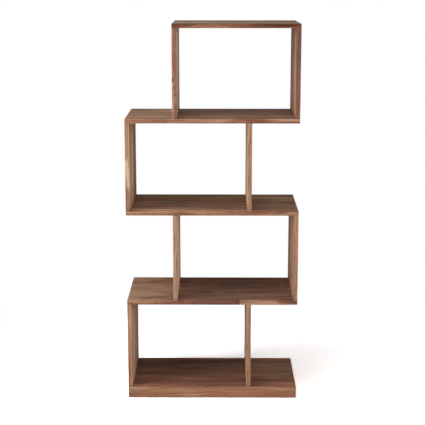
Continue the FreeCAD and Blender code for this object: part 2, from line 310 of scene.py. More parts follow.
class Timber:
    """A point in the wood: its place in the board, and the stave that it lies in."""

    def __init__(self, wire, given):
        self.wire = wire
        self.given = given
        self.x, self.y, self.z = wire.split(given["Place"])
        count = wire.math("ADD", wire.math("DIVIDE", self.y, given["Stave Width"]), given["Seed"])
        stave = wire.math("FLOOR", count)
        dice = wire.node("ShaderNodeTexWhiteNoise", {"Vector": wire.join(stave, given["Seed"], 0.5)})
        self.chances = wire.split(dice.outputs["Color"])
        middle = wire.math("SUBTRACT", wire.math("SUBTRACT", count, stave), 0.5)
        self.from_middle = wire.math("MULTIPLY", middle, given["Stave Width"])
        self.shift = wire.math("MULTIPLY", self.chances[2], STAVE_SPREAD)

    def slow(self, stretch, offset, detail, roughness=0.5, slide=0.0):
        """A slow change within the stave, about zero. The stretch is in waves per metre."""
        wire = self.wire
        along, across, through = stretch
        where = wire.join(
            wire.math("MULTIPLY_ADD", self.x, along, wire.math("ADD", self.shift, offset)),
            wire.math("MULTIPLY_ADD", self.y, across, slide),
            wire.math("MULTIPLY", self.z, through),
        )
        return wire.math("SUBTRACT", wire.noise(where, detail=detail, roughness=roughness), 0.5)

    def fine(self, stretch, detail):
        """A fine texture through the whole board, from zero to one."""
        return self.wire.noise(self.wire.vector("MULTIPLY", self.given["Place"], stretch), detail=detail)


print("Staves read their noise up to", STAVE_SPREAD, "waves apart.")

# %% [markdown]
# A knot. Where a branch grew, the rings bend round a small dark eye that is longer along the grain. A
# dark spot mixed over the colour would let the streaks run straight through it, so the knot acts on the
# rings too. A point's distance from the knot, counted in the knot's own size, tells both how dark it is
# and how far its ring is pushed aside.

# %% Knot
KNOT_SHAPE = (0.55, 1.0, 1.0)
SMALLEST_KNOT = 0.0001
PUSH_ENDS, PUSH_FULL = 4.0, 0.5
KNOT_ENDS, KNOT_FULL = 1.15, 0.55


def knot_in(timber):
    """How much of the knot is at this point, and how far it pushes the rings."""
    wire, given = timber.wire, timber.given
    size = wire.math("MAXIMUM", given["Knot Size"], SMALLEST_KNOT)
    apart = wire.vector("SUBTRACT", given["Place"], given["Knot Place"])
    far = wire.math("DIVIDE", wire.vector("LENGTH", wire.vector("MULTIPLY", apart, KNOT_SHAPE)), size)
    push = wire.math("MULTIPLY", size, wire.smooth(far, PUSH_ENDS, PUSH_FULL))
    return wire.smooth(far, KNOT_ENDS, KNOT_FULL), push


print("A knot bends the grain out to", PUSH_ENDS, "times its size.")

# %% [markdown]
# Growth rings. In each stave the rings are circles round a pith that lies below the board's middle, and
# the pith wanders a little along the length. A long face then shows straight streaks or arches, and an
# end shows the rings cut across. All wood of one ring has one tone, so a noise that reads the ring's
# radius draws a streak wherever the saw cut through it.

# %% Growth rings and streaks
PITH_SIDE = 0.12
PITH_NEAREST = 0.014
PITH_DEPTH = 0.06
WANDER_ACROSS = 0.045
WANDER_DOWN = 0.075
STREAK_ROUGHNESS = 0.55


def ring_radius(timber, push):
    """How far a point is from the pith of its stave."""
    wire = timber.wire
    pith_side = wire.math("MULTIPLY", wire.math("SUBTRACT", timber.chances[0], 0.5), PITH_SIDE)
    pith_depth = wire.math("MULTIPLY_ADD", timber.chances[1], PITH_DEPTH, PITH_NEAREST)
    sway = timber.slow(stretch=(3.4, 8.0, 8.0), offset=3.0, detail=2.0)
    dip = timber.slow(stretch=(2.6, 8.0, 8.0), offset=9.0, detail=3.0, roughness=0.62)
    across = wire.math("MULTIPLY_ADD", sway, WANDER_ACROSS, timber.from_middle)
    across = wire.math("SUBTRACT", across, pith_side)
    down = wire.math("MULTIPLY_ADD", dip, WANDER_DOWN, timber.z)
    down = wire.math("ADD", down, pith_depth)
    return wire.math("ADD", wire.vector("LENGTH", wire.join(across, down, 0.0)), push)


def streaks(timber, ring, fineness, drift, offset, detail):
    """Streaks that follow the rings and change slowly along the board, about zero."""
    wire = timber.wire
    where = wire.join(
        wire.math("MULTIPLY", ring, fineness),
        wire.math("MULTIPLY", timber.x, drift),
        wire.math("ADD", timber.shift, offset),
    )
    return wire.math("SUBTRACT", wire.noise(where, detail=detail, roughness=STREAK_ROUGHNESS), 0.5)


pith_range = (round(PITH_NEAREST * 1000), round((PITH_NEAREST + PITH_DEPTH) * 1000))
print("Before it wanders, a pith lies", pith_range, "mm below the middle of its board.")

# %% [markdown]
# Tone. The figure of the wood has several layers: broad bands and thin lines along the rings, a soft
# flame that runs across them, staves that differ, fibres, and pale sapwood. Each adds its share to one
# tone, on a scale from dark heart at zero to pale sap at one. The flame shows most on the front edges,
# where the boards are sawn across the rings.

# %% Tone of the wood
BAND_SHARE = 0.62
LINE_SHARE = 0.66
FLAME_SHARE = 1.0
STAVE_SHARE = 0.14
FIBRE_SHARE = 0.30
SAP_SHARE = 0.30
SAP_STARTS, SAP_FULL = 0.08, 0.24
KNOT_SHARE = -0.34
# The flame grows to its full strength between these two places, just behind the front edge
FLAME_STARTS, FLAME_FULL = FRONT + 0.014, FRONT + 0.002
FLAME_INSIDE = 0.42
MIDDLE_TONE = 0.5


def wood_tone(timber, ring, knot, fibre):
    """The tone of the wood at a point, from all the layers of its figure."""
    wire, given = timber.wire, timber.given
    at_front = wire.smooth(timber.y, FLAME_STARTS, FLAME_FULL)
    sawn = wire.math("MULTIPLY_ADD", at_front, 1.0 - FLAME_INSIDE, FLAME_INSIDE)
    flame = timber.slow(stretch=(4.6, 22.0, 80.0), offset=15.0, detail=3.0, roughness=0.62, slide=1.98)
    sap = streaks(timber, ring, fineness=21.0, drift=1.6, offset=13.0, detail=2.0)
    layers = (
        (streaks(timber, ring, fineness=40.0, drift=1.3, offset=1.0, detail=2.0), BAND_SHARE),
        (streaks(timber, ring, fineness=190.0, drift=1.8, offset=7.0, detail=3.0), LINE_SHARE),
        (wire.math("MULTIPLY", flame, sawn), FLAME_SHARE),
        (wire.math("SUBTRACT", timber.chances[0], 0.5), STAVE_SHARE),
        (wire.math("SUBTRACT", fibre, 0.5), FIBRE_SHARE),
        (wire.smooth(wire.math("ADD", sap, given["Sap"]), SAP_STARTS, SAP_FULL), SAP_SHARE),
    )
    figure = 0.0
    for layer, share in layers:
        figure = wire.math("MULTIPLY_ADD", layer, share, figure)
    middle = wire.math("ADD", given["Tone"], MIDDLE_TONE)
    tone = wire.math("MULTIPLY_ADD", figure, given["Contrast"], middle)
    return wire.math("MULTIPLY_ADD", knot, KNOT_SHARE, tone)


print("Inside a board the flame is", FLAME_INSIDE, "times as strong as on its front edge.")

# %% [markdown]
# Colour. A Color Ramp turns the tone into the wood's own colours. One ramp alone would look printed,
# because real staves also differ in hue: some lean to a greyish olive, some to red. So hue and strength
# drift a little from stave to stave and along each one. Last come the pores, short dark dashes along the
# grain.

# %% Colour of the wood
# From the darkest lines to the palest sapwood, each with its place on the tone scale
WOOD_COLOURS = (
    (0.08, (0.061, 0.023, 0.016, 1.0)),
    (0.32, (0.180, 0.068, 0.043, 1.0)),
    (0.52, (0.305, 0.147, 0.083, 1.0)),
    (0.70, (0.430, 0.241, 0.139, 1.0)),
    (0.90, (0.597, 0.395, 0.258, 1.0)),
)
SAPWOOD = WOOD_COLOURS[-1][1]
PORE = (0.070, 0.030, 0.020, 1.0)
PORE_SHARE = 0.40
DRIFT_SHARE = 1.8
HUE_SWING = 0.016
GREY_SWING = -0.16
# A Hue/Saturation node leaves the hue as it is at one half
SAME_HUE = 0.5


def wood_colour(timber, tone, pits):
    """The colour of a tone, with the hue of its stave, and with dark pores."""
    wire, given = timber.wire, timber.given
    scale = wire.node("ShaderNodeValToRGB", {"Fac": tone})
    stops = scale.color_ramp.elements
    while len(stops) < len(WOOD_COLOURS):
        stops.new(0.5)
    for stop, (level, colour) in zip(stops, WOOD_COLOURS):
        stop.position = level
        stop.color = colour
    drift = timber.slow(stretch=(4.5, 45.0, 90.0), offset=21.0, detail=2.0)
    drift = wire.math("MULTIPLY_ADD", drift, DRIFT_SHARE, wire.math("SUBTRACT", timber.chances[1], 0.5))
    hue = wire.math("MULTIPLY_ADD", wire.math("ADD", drift, given["Lean"]), HUE_SWING, SAME_HUE)
    strength = wire.math("MULTIPLY_ADD", wire.math("ADD", drift, given["Grey"]), GREY_SWING, 1.0)
    tinted = wire.node(
        "ShaderNodeHueSaturation",
        {"Hue": hue, "Saturation": strength, "Value": 1.0, "Fac": 1.0, "Color": scale.outputs["Color"]},
    )
    return wire.mix_colour(wire.math("MULTIPLY", pits, PORE_SHARE), tinted.outputs["Color"], PORE)


print("The wood has", len(WOOD_COLOURS), "colours from heart to sap.")

# %% [markdown]
# The grain group. All of this goes into one shader node group, built once and placed in each board's
# material with that board's own values. It gives a colour, a roughness and a height. An oiled surface is
# nearly flat in its shine, a little rougher in the fibres and roughest in the open pores, and the pores
# lie lower.

# %% The grain group
STAVE_WIDTH = 0.088
FIBRES_PER_METRE = (34.0, 950.0, 950.0)
PORES_PER_METRE = (75.0, 1500.0, 1500.0)
PORE_STARTS, PORE_FULL = 0.60, 0.72
OILED_ROUGHNESS = 0.68
FIBRE_ROUGHNESS = 0.14
PORE_ROUGHNESS = 0.10
FIBRE_HEIGHT = 0.5


def grain_group():
    """Builds the group that finds the wood's colour, roughness and height at a place in a board."""
    tree = bpy.data.node_groups.new("streaky_hardwood", "ShaderNodeTree")
    add_socket(tree, "Place", "NodeSocketVector")
    add_socket(tree, "Seed", "NodeSocketFloat", 0.0)
    add_socket(tree, "Stave Width", "NodeSocketFloat", STAVE_WIDTH)
    add_socket(tree, "Tone", "NodeSocketFloat", 0.0)
    add_socket(tree, "Sap", "NodeSocketFloat", 0.0)
    add_socket(tree, "Contrast", "NodeSocketFloat", 1.0)
    add_socket(tree, "Lean", "NodeSocketFloat", 0.0)
    add_socket(tree, "Grey", "NodeSocketFloat", 0.0)
    add_socket(tree, "Knot Place", "NodeSocketVector")
    add_socket(tree, "Knot Size", "NodeSocketFloat", 0.0)
    add_socket(tree, "Colour", "NodeSocketColor", out=True)
    add_socket(tree, "Roughness", "NodeSocketFloat", out=True)
    add_socket(tree, "Height", "NodeSocketFloat", out=True)
    wire = Wiring(tree)
    timber = Timber(wire, wire.node("NodeGroupInput").outputs)
    knot, push = knot_in(timber)
    ring = ring_radius(timber, push)
    fibre = timber.fine(FIBRES_PER_METRE, detail=2.0)
    pits = wire.smooth(timber.fine(PORES_PER_METRE, detail=1.0), PORE_STARTS, PORE_FULL)
    tone = wood_tone(timber, ring, knot, fibre)
    oiled = wire.math("MULTIPLY_ADD", fibre, FIBRE_ROUGHNESS, OILED_ROUGHNESS)
    shown = wire.node("NodeGroupOutput").inputs
    wire.feed(shown["Colour"], wood_colour(timber, tone, pits))
    wire.feed(shown["Roughness"], wire.math("MULTIPLY_ADD", pits, PORE_ROUGHNESS, oiled))
    wire.feed(shown["Height"], wire.math("SUBTRACT", wire.math("MULTIPLY", fibre, FIBRE_HEIGHT), pits))
    return tree


grain = grain_group()
print("The grain group has", len(grain.nodes), "nodes.")

# %% [markdown]
# Veins and painted light. Some boards have a patch that is paler or darker than the rest, where a band
# of sapwood or of dark heart comes to the surface. The same patches also paint light and shade on some
# boards: paler where more light falls, darker in shade. A painted texture could hold it, but it would
# lie on one face only. Each patch here is a long ellipsoid in the board, and a stretched noise makes its
# outline ragged. It can also start or stop square, as at a joint between two lengths of wood.

# %% The group for veins and painted light
RAGS_PER_METRE = (14.0, 110.0, 110.0)
VEIN_AND_LIGHT_ENDS, VEIN_AND_LIGHT_FULL = 1.2, 0.8


def vein_and_painted_light_group():
    """Builds the group for veins and painted light and shade: one inside a patch, zero outside."""
    tree = bpy.data.node_groups.new("vein_and_painted_light", "ShaderNodeTree")
    add_socket(tree, "Place", "NodeSocketVector")
    add_socket(tree, "Middle", "NodeSocketVector")
    add_socket(tree, "Reach", "NodeSocketVector", ONE)
    add_socket(tree, "Start", "NodeSocketFloat", -1.0)
    add_socket(tree, "Stop", "NodeSocketFloat", 1.0)
    add_socket(tree, "Mask", "NodeSocketFloat", out=True)
    wire = Wiring(tree)
    given = wire.node("NodeGroupInput").outputs
    apart = wire.vector("SUBTRACT", given["Place"], given["Middle"])
    apart = wire.vector("LENGTH", wire.vector("DIVIDE", apart, given["Reach"]))
    wobble = wire.noise(wire.vector("MULTIPLY", given["Place"], RAGS_PER_METRE), detail=3.0)
    ragged = wire.math("ADD", apart, wire.math("SUBTRACT", wobble, 0.5))
    along = wire.split(given["Place"])[0]
    started = wire.math("GREATER_THAN", along, given["Start"])
    stopped = wire.math("LESS_THAN", along, given["Stop"])
    mask = wire.smooth(ragged, VEIN_AND_LIGHT_ENDS, VEIN_AND_LIGHT_FULL)
    mask = wire.math("MULTIPLY", mask, wire.math("MULTIPLY", started, stopped))
    wire.feed(wire.node("NodeGroupOutput").inputs["Mask"], mask)
    return tree


veins_and_painted_light = vein_and_painted_light_group()
print("The vein group has", len(veins_and_painted_light.nodes), "nodes.")

# %% [markdown]
# Worn edges. Hands and cloths rub a shelf's edges a shade lighter than its faces, and the lighter edge
# is also a painted highlight along the eased arris. Vertex colours could mark the edges, but a sum is
# enough: a point on the surface touches one face, so the second nearest face tells how far away the
# nearest edge is. A noise makes the wear patchy.

# %% The edge group
# The edges are worn and also carry a painted highlight.
WEAR_AND_HIGHLIGHT_WIDTH = 0.0022
WEAR_AND_HIGHLIGHT_LEAST = 0.1
WEAR_AND_HIGHLIGHT_SPREAD = 1.6
WEAR_AND_HIGHLIGHT_PATCHES_PER_METRE = 45.0


def edge_wear_and_highlight_group():
    """Builds the group for worn edges and their painted highlight: one on the edge, zero on the faces."""
    tree = bpy.data.node_groups.new("rubbed_and_highlit_edges", "ShaderNodeTree")
    add_socket(tree, "Place", "NodeSocketVector")
    add_socket(tree, "Half Size", "NodeSocketVector")
    add_socket(tree, "Width", "NodeSocketFloat", WEAR_AND_HIGHLIGHT_WIDTH)
    add_socket(tree, "Mask", "NodeSocketFloat", out=True)
    wire = Wiring(tree)
    given = wire.node("NodeGroupInput").outputs
    gap = wire.vector("SUBTRACT", given["Half Size"], wire.vector("ABSOLUTE", given["Place"]))
    end_gap, side_gap, face_gap = wire.split(gap)
    # The middle one of the three gaps
    lesser = wire.math("MINIMUM", end_gap, side_gap)
    greater = wire.math("MAXIMUM", end_gap, side_gap)
    to_edge = wire.math("MAXIMUM", lesser, wire.math("MINIMUM", greater, face_gap))
    patchy = wire.noise(wire.vector("SCALE", given["Place"], WEAR_AND_HIGHLIGHT_PATCHES_PER_METRE), detail=3.0)
    patchy = wire.math("MULTIPLY_ADD", patchy, WEAR_AND_HIGHLIGHT_SPREAD, WEAR_AND_HIGHLIGHT_LEAST)
    reach = wire.math("MULTIPLY", given["Width"], patchy)
    mask = wire.math("SUBTRACT", 1.0, wire.smooth(to_edge, 0.0, reach))
    wire.feed(wire.node("NodeGroupOutput").inputs["Mask"], mask)
    return tree


edge_wear_and_highlight = edge_wear_and_highlight_group()
print("The edge group has", len(edge_wear_and_highlight.nodes), "nodes.")

# %% [markdown]
# The figure of each board. No two boards of a tree look alike, so each one has its own seed, tone and
# hue. One material with a random number for each board would be shorter, but these values were set by
# comparing renders with the photo, board by board. The upper faces are painted a little greyer and
# more olive than the rest: a painted sheen, standing in for the pale light that they reflect. The veins
# are the larger marks by which one knows a board again, and some patches among them are painted light
# and shade.


# %% What a figure is
class VeinAndPaintedLight(NamedTuple):
    """A patch of a board: its middle and its reach in the board's own frame, and how much paler it is.

    A tone below zero makes it darker. It stays between start and stop along the board. Some patches
    are veins of the wood, and some are painted light and shade.
    """

    middle: tuple
    reach: tuple
    tone: float
    start: float = -1.0
    stop: float = 1.0


class Figure(NamedTuple):
    """What makes one board's wood differ from the next.

    The seed picks the staves. The tone makes them all paler or darker, the contrast spreads them, and sap
    adds pale sapwood or, below zero, takes some away. Lean turns the hue towards olive, or below zero
    towards red. Grey takes colour out, or below zero adds some. Top adds to lean and grey on the upper
    face, a painted sheen that makes it greyer. The knot is placed in the board's own frame.
    """

    seed: float
    tone: float = 0.0
    sap: float = 0.0
    contrast: float = 1.0
    lean: float = 0.0
    grey: float = 0.0
    top: float = 0.0
    veins_and_painted_light: tuple = ()
    knot_place: tuple = (0.0, 0.0, 0.0)
    knot_size: float = 0.0


print("A figure has", len(Figure._fields), "values.")

# %% [markdown]
# The shelves' figures. A shelf shows its upper face and its front edge, so its veins lie there. Some
# patches on the upper faces are painted light and shade: paler towards the back of the second and third
# shelves and on the open end of the lowest shelf, darker behind the front edge inside the boxes on the
# lowest and the second shelf. The front edge of the lowest shelf is joined end to end from two lengths
# of wood: a dark vein stops at the joint and a pale one starts there.

# %% Figures of the shelves
FRONT_JOINT = 0.1125

SHELF_FIGURES = {
    "top_board": Figure(141.68, tone=-0.08, sap=-0.02, contrast=1.1, lean=-0.45, grey=-0.55, top=1.6),
    "shelf_3": Figure(617.45, tone=-0.03, lean=0.3, grey=0.5, top=0.55, veins_and_painted_light=(
        # Painted light: paler towards the back, inside the top box.
        VeinAndPaintedLight((0.10, 0.10, 0.009), (0.26, 0.14, 0.03), 0.17),
        VeinAndPaintedLight((0.10, FRONT, 0.0), (0.09, 0.03, 0.03), 0.08),
        VeinAndPaintedLight((-0.25, 0.16, 0.009), (0.11, 0.06, 0.02), -0.16),
    )),
    "shelf_2": Figure(161.58, tone=0.03, lean=0.4, grey=0.55, top=0.35, veins_and_painted_light=(
        # Painted light: paler towards the back.
        VeinAndPaintedLight((0.0, 0.17, 0.009), (0.45, 0.11, 0.03), 0.17),
        # Painted shade: darker behind the front edge, inside the box.
        VeinAndPaintedLight((-0.09, -0.04, 0.009), (0.27, 0.05, 0.02), -0.12),
    )),
    "shelf_1": Figure(516.38, tone=-0.06, contrast=0.9, lean=-0.3, grey=0.15, top=0.45, veins_and_painted_light=(
        # Painted light: the open left end, beside the box, is paler.
        VeinAndPaintedLight((-0.27, 0.0, 0.012), (0.13, 0.26, 0.012), 0.14),
        # Painted shade: darker behind the front edge, inside the box.
        VeinAndPaintedLight((0.10, -0.07, 0.009), (0.28, 0.10, 0.02), -0.07),
        VeinAndPaintedLight((0.05, FRONT, 0.0), (0.16, 0.016, 0.03), -0.09, stop=FRONT_JOINT),
        VeinAndPaintedLight((0.17, FRONT, 0.0), (0.09, 0.016, 0.03), 0.20, start=FRONT_JOINT),
        VeinAndPaintedLight((0.33, FRONT, 0.006), (0.06, 0.03, 0.012), -0.15),
    )),
}
print(sum(len(figure.veins_and_painted_light) for figure in SHELF_FIGURES.values()), "veins lie in the shelves.")

# %% [markdown]
# The uprights' figures. From the front an upright shows its narrow edge and its inner face, so its
# veins lie there. Three inner faces are painted paler all over, as painted light. One upright has a
# paler tone and a darker front edge, so that its inner face is painted lighter than the edge. The front
# edge of one of them has a small knot.

# %% Figures of the uprights
UPRIGHT_FIGURES = {
    "upright_4_left": Figure(
        162.47, tone=0.05, lean=0.2, grey=0.9, knot_place=(-0.0225, FRONT, 0.006), knot_size=0.0065,
        # Painted light: the whole inner face is paler.
        veins_and_painted_light=(VeinAndPaintedLight((0.0, 0.06, -0.012), (0.4, 0.26, 0.008), 0.14),),
    ),
    "upright_4_right": Figure(376.79, tone=0.06, sap=-0.02, contrast=0.9, grey=0.5, veins_and_painted_light=(
        # Painted light: with the paler tone above, this darker front edge leaves the inner face painted
        # lighter.
        VeinAndPaintedLight((0.0, FRONT, 0.0), (0.4, 0.03, 0.03), -0.17),
    )),
    "upright_3_left": Figure(849.66, tone=0.08, sap=0.04, contrast=1.1, veins_and_painted_light=(
        VeinAndPaintedLight((-0.003, FRONT, 0.003), (0.038, 0.03, 0.009), 0.20),
        VeinAndPaintedLight((-0.05, FRONT, -0.003), (0.045, 0.03, 0.007), 0.20),
        VeinAndPaintedLight((-0.14, FRONT, 0.0), (0.06, 0.04, 0.02), -0.12),
    )),
    "upright_3_right": Figure(457.93, tone=0.15, sap=0.02, lean=-0.35, grey=0.2, veins_and_painted_light=(
        # Painted light: the whole inner face is paler.
        VeinAndPaintedLight((0.0, 0.06, 0.012), (0.4, 0.26, 0.008), 0.18),
    )),
    "upright_2_left": Figure(534.57, tone=0.22, sap=0.02, lean=-0.1, grey=0.5, veins_and_painted_light=(
        # Painted light: the whole inner face is paler.
        VeinAndPaintedLight((0.0, 0.06, -0.012), (0.4, 0.26, 0.008), 0.08),
    )),
    "upright_2_right": Figure(400.39, tone=0.05, lean=0.3, grey=0.6),
    "upright_1_left": Figure(892.67, tone=0.07, sap=0.02, contrast=0.9, lean=-0.1, grey=0.25),
    "upright_1_right": Figure(395.18, tone=0.13, contrast=0.9, lean=0.25, grey=0.55),
}
print(sum(len(figure.veins_and_painted_light) for figure in UPRIGHT_FIGURES.values()), "veins lie in the uprights.")

# %% [markdown]
# The base's figures. Its pieces come from calmer wood, so their contrast is lower. The panel has painted
# shade, darker at the back and under the lowest box, and painted light, a little paler beside it.

# %% Figures of the base
BASE_FIGURES = {
    "base_front_rail": Figure(97.4, tone=-0.03, contrast=0.8, lean=-0.2, grey=-0.2),
    "base_back_rail": Figure(101.2, tone=-0.03, contrast=0.7),
    "base_panel": Figure(107.7, tone=-0.10, contrast=0.8, lean=-0.1, top=0.8, veins_and_painted_light=(
        # Painted shade: darker along the back, and under the lowest box.
        VeinAndPaintedLight((-0.10, 0.16, 0.02), (0.40, 0.10, 0.04), -0.09),
        VeinAndPaintedLight((-0.11, 0.0, 0.02), (0.27, 0.40, 0.04), -0.03),
        # Painted light: a little paler beside the lowest box.
        VeinAndPaintedLight((0.26, 0.02, 0.02), (0.12, 0.10, 0.04), 0.05),
    )),
    "base_left_rail": Figure(113.3, contrast=0.8),
    "base_bearer": Figure(127.1, contrast=0.8),
    "base_right_rail": Figure(131.9, contrast=0.8),
}
FIGURE = {**SHELF_FIGURES, **UPRIGHT_FIGURES, **BASE_FIGURES}
print(len(FIGURE), "pieces have a figure of their own.")

# %% [markdown]
# Which way the grain runs. Wood is strong along its grain, so the grain runs along a shelf, up an upright
# and from front to back in the short rails of the base. The group wants the length on X. Turning the
# objects would break the shared frame, so a Mapping node in each material moves the board's middle to the
# origin and turns its length onto X.

# %% Grain along each board
CROSSWAYS = ("base_left_rail", "base_bearer", "base_right_rail")
QUARTER_TURN = math.radians(90.0)


def board_frame(name):
    """The move and turn that lay a board's grain along X at the origin, and its half size there."""
    low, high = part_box(name)
    middle = (low + high) / 2
    half = (high - low) / 2
    if name in UPRIGHTS:
        turn = (0.0, QUARTER_TURN, 0.0)
        return Vector((-middle.z, -middle.y, middle.x)), turn, Vector((half.z, half.y, half.x))
    if name in CROSSWAYS:
        turn = (0.0, 0.0, -QUARTER_TURN)
        return Vector((-middle.y, middle.x, -middle.z)), turn, Vector((half.y, half.x, half.z))
    return -middle, ZERO, half


print("The grain turns upwards in", len(UPRIGHTS), "uprights.")

# %% [markdown]
# One material for each board. It lays the veins and the painted light and shade on the tone, paints a
# sheen on the upper face that makes it greyer, and hands all to the grain group. Then the rubbed edges
# take a little of the sapwood's colour, as wear and as a painted highlight. The oil has soaked in and
# left hardly any shine, so the shader's specular level is low. It is the same all over, and so a plain
# number.

# %% Wood materials
# Painted sheen: the upper faces turn greyer and more olive as the normal's Z rises between these two.
SHEEN_PAINT_STARTS, SHEEN_PAINT_FULL = 0.6, 0.95
WEAR_AND_HIGHLIGHT_SHARE = 0.28
BUMP_DEPTH = 0.00012
BUMP_STRENGTH = 0.5
OIL_SHINE = 0.06


def tone_with_veins_and_painted_light(wire, place, figure):
    """A board's tone, with its veins and its painted light and shade."""
    tone = figure.tone
    for vein_and_painted_light in figure.veins_and_painted_light:
        chosen = {
            "Place": place,
            "Middle": vein_and_painted_light.middle,
            "Reach": vein_and_painted_light.reach,
            "Start": vein_and_painted_light.start,
            "Stop": vein_and_painted_light.stop,
        }
        patch = wire.node("ShaderNodeGroup", chosen, node_tree=veins_and_painted_light)
        tone = wire.math("MULTIPLY_ADD", patch.outputs["Mask"], vein_and_painted_light.tone, tone)
    return tone


def board_grain(wire, place, figure):
    """The grain group with one board's values."""
    # Painted sheen: faces that look upwards get the figure's top added to lean and grey.
    upward = wire.split(wire.node("ShaderNodeNewGeometry").outputs["Normal"])[2]
    painted_upper_sheen = wire.math("MULTIPLY", wire.smooth(upward, SHEEN_PAINT_STARTS, SHEEN_PAINT_FULL), figure.top)
    chosen = {
        "Place": place,
        "Seed": figure.seed,
        "Stave Width": STAVE_WIDTH,
        "Tone": tone_with_veins_and_painted_light(wire, place, figure),
        "Sap": figure.sap,
        "Contrast": figure.contrast,
        "Lean": wire.math("ADD", painted_upper_sheen, figure.lean),
        "Grey": wire.math("ADD", painted_upper_sheen, figure.grey),
        "Knot Place": figure.knot_place,
        "Knot Size": figure.knot_size,
    }
    return wire.node("ShaderNodeGroup", chosen, node_tree=grain).outputs


def wood_material(name):
    """The finish of one board."""
    move, turn, half = board_frame(name)
    material = bpy.data.materials.new(f"hardwood_{name}")
    material.use_nodes = True
    wire = Wiring(material.node_tree)
    shader = material.node_tree.nodes["Principled BSDF"].inputs
    packed_place = wire.node("ShaderNodeTexCoord").outputs["Object"]
    laid = {"Vector": packed_place, "Location": move, "Rotation": turn}
    place = wire.node("ShaderNodeMapping", laid).outputs[0]
    wood = board_grain(wire, place, FIGURE[name])
    # The edges take some of the sapwood's colour: wear, and a painted highlight.
    worn_and_highlit = wire.node("ShaderNodeGroup", {"Place": place, "Half Size": half}, node_tree=edge_wear_and_highlight)
    wear_and_highlight = wire.math("MULTIPLY", worn_and_highlit.outputs["Mask"], WEAR_AND_HIGHLIGHT_SHARE)
    bump = wire.node(
        "ShaderNodeBump",
        {"Height": wood["Height"], "Distance": BUMP_DEPTH, "Strength": BUMP_STRENGTH},
    )
    wire.feed(shader["Base Color"], wire.mix_colour(wear_and_highlight, wood["Colour"], SAPWOOD))
    wire.feed(shader["Roughness"], wood["Roughness"])
    wire.feed(shader["Normal"], bump.outputs[0])
    shader["Specular IOR Level"].default_value = OIL_SHINE
    return material


woods = {name: wood_material(name) for name in FIGURE}
print(len(woods), "wood materials.")

# %% [markdown]
# Making the boards. Each one takes its size and place from the solid that it stands for. A shelf is eased
# on every edge; an upright keeps square ends, because they are glued tight against the shelves. The tree
# runs as a modifier on an empty object, and its result is kept as a plain mesh, which exports as it is.

# %% Shelves and uprights
EASED_ALL_ROUND = (1.0, 1.0, 1.0)
SQUARE_ENDED = (1.0, 1.0, 0.0)


def socket_key(tree, name):
    """The identifier by which a modifier knows one of the tree's inputs."""
    inputs = [item for item in tree.interface.items_tree if item.in_out == "INPUT"]
    return next(item.identifier for item in inputs if item.name == name)


def make_board(name):
    """One board, in place of its solid."""
    low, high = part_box(name)
    maker = bpy.data.objects.new("maker", bpy.data.meshes.new("maker"))
    bpy.context.scene.collection.objects.link(maker)
    modifier = maker.modifiers.new("board", "NODES")
    modifier.node_group = board_tree
    wanted = {
        "Centre": (low + high) / 2,
        "Size": high - low,
        "Rounded": SQUARE_ENDED if name in UPRIGHTS else EASED_ALL_ROUND,
        "Arris": ARRIS,
        "Unevenness": UNEVENNESS,
        "Seed": FIGURE[name].seed,
        "Finish": woods[name],
    }
    for socket, value in wanted.items():
        modifier[socket_key(board_tree, socket)] = value
    finished = maker.evaluated_get(bpy.context.evaluated_depsgraph_get())
    mesh = bpy.data.meshes.new_from_object(finished)
    bpy.data.objects.remove(maker)
    piece = bpy.data.objects.new(f"{name}_board", mesh)
    bpy.context.scene.collection.objects.link(piece)
    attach(piece, "root")
    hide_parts(name)
    return piece


boards = [make_board(name) for name in SHELVES + UPRIGHTS]
print(len(boards), "boards,", sum(len(board.data.polygons) for board in boards), "faces.")

# %% [markdown]
# The base. Its rails are grooved and tongued in the solid model and their shapes are right, so they stay
# as they are and only take a finish.


# %% Base
def paint(name, material):
    """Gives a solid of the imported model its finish."""
    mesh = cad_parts[name].data
    mesh.materials.clear()
    mesh.materials.append(material)


for name in BASE_FIGURES:
    paint(name, woods[name])
print("The base has", len(BASE_FIGURES), "pieces.")

# %% [markdown]
# Dowels and glides. The dowels are hidden in the joints: turned beech, pale and straight-grained. The
# glides under the base are dark moulded plastic, with the faint pebbled skin that a mould leaves. Plain
# colours would do while they are out of sight, but the pieces can also be looked at one by one. So both
# are two close colours mixed by a noise. For the beech it is stretched upwards, as most dowels stand.

# %% Dowels and glides
BEECH_LIGHT = (0.60, 0.42, 0.26, 1.0)
BEECH_DARK = (0.44, 0.28, 0.16, 1.0)
BEECH_SPECKS_PER_METRE = (900.0, 900.0, 60.0)
PLASTIC = (0.035, 0.026, 0.022, 1.0)
PLASTIC_SCUFFED = (0.070, 0.058, 0.050, 1.0)
PLASTIC_SPECKS_PER_METRE = (700.0, 700.0, 700.0)
SPECK_STARTS, SPECK_FULL = 0.35, 0.65
SPECK_ROUGHNESS = 0.15
SPECK_DEPTH = 0.00008
SPECK_STRENGTH = 0.6


def speckled_material(name, first, second, stretch, roughness):
    """Two close colours mixed by a stretched noise, which also roughens and raises the surface."""
    material = bpy.data.materials.new(name)
    material.use_nodes = True
    wire = Wiring(material.node_tree)
    shader = material.node_tree.nodes["Principled BSDF"].inputs
    place = wire.node("ShaderNodeTexCoord").outputs["Object"]
    specks = wire.noise(wire.vector("MULTIPLY", place, stretch), detail=3.0)
    share = wire.smooth(specks, SPECK_STARTS, SPECK_FULL)
    bump = wire.node(
        "ShaderNodeBump",
        {"Height": specks, "Distance": SPECK_DEPTH, "Strength": SPECK_STRENGTH},
    )
    wire.feed(shader["Base Color"], wire.mix_colour(share, first, second))
    wire.feed(shader["Roughness"], wire.math("MULTIPLY_ADD", specks, SPECK_ROUGHNESS, roughness))
    wire.feed(shader["Normal"], bump.outputs[0])
    return material


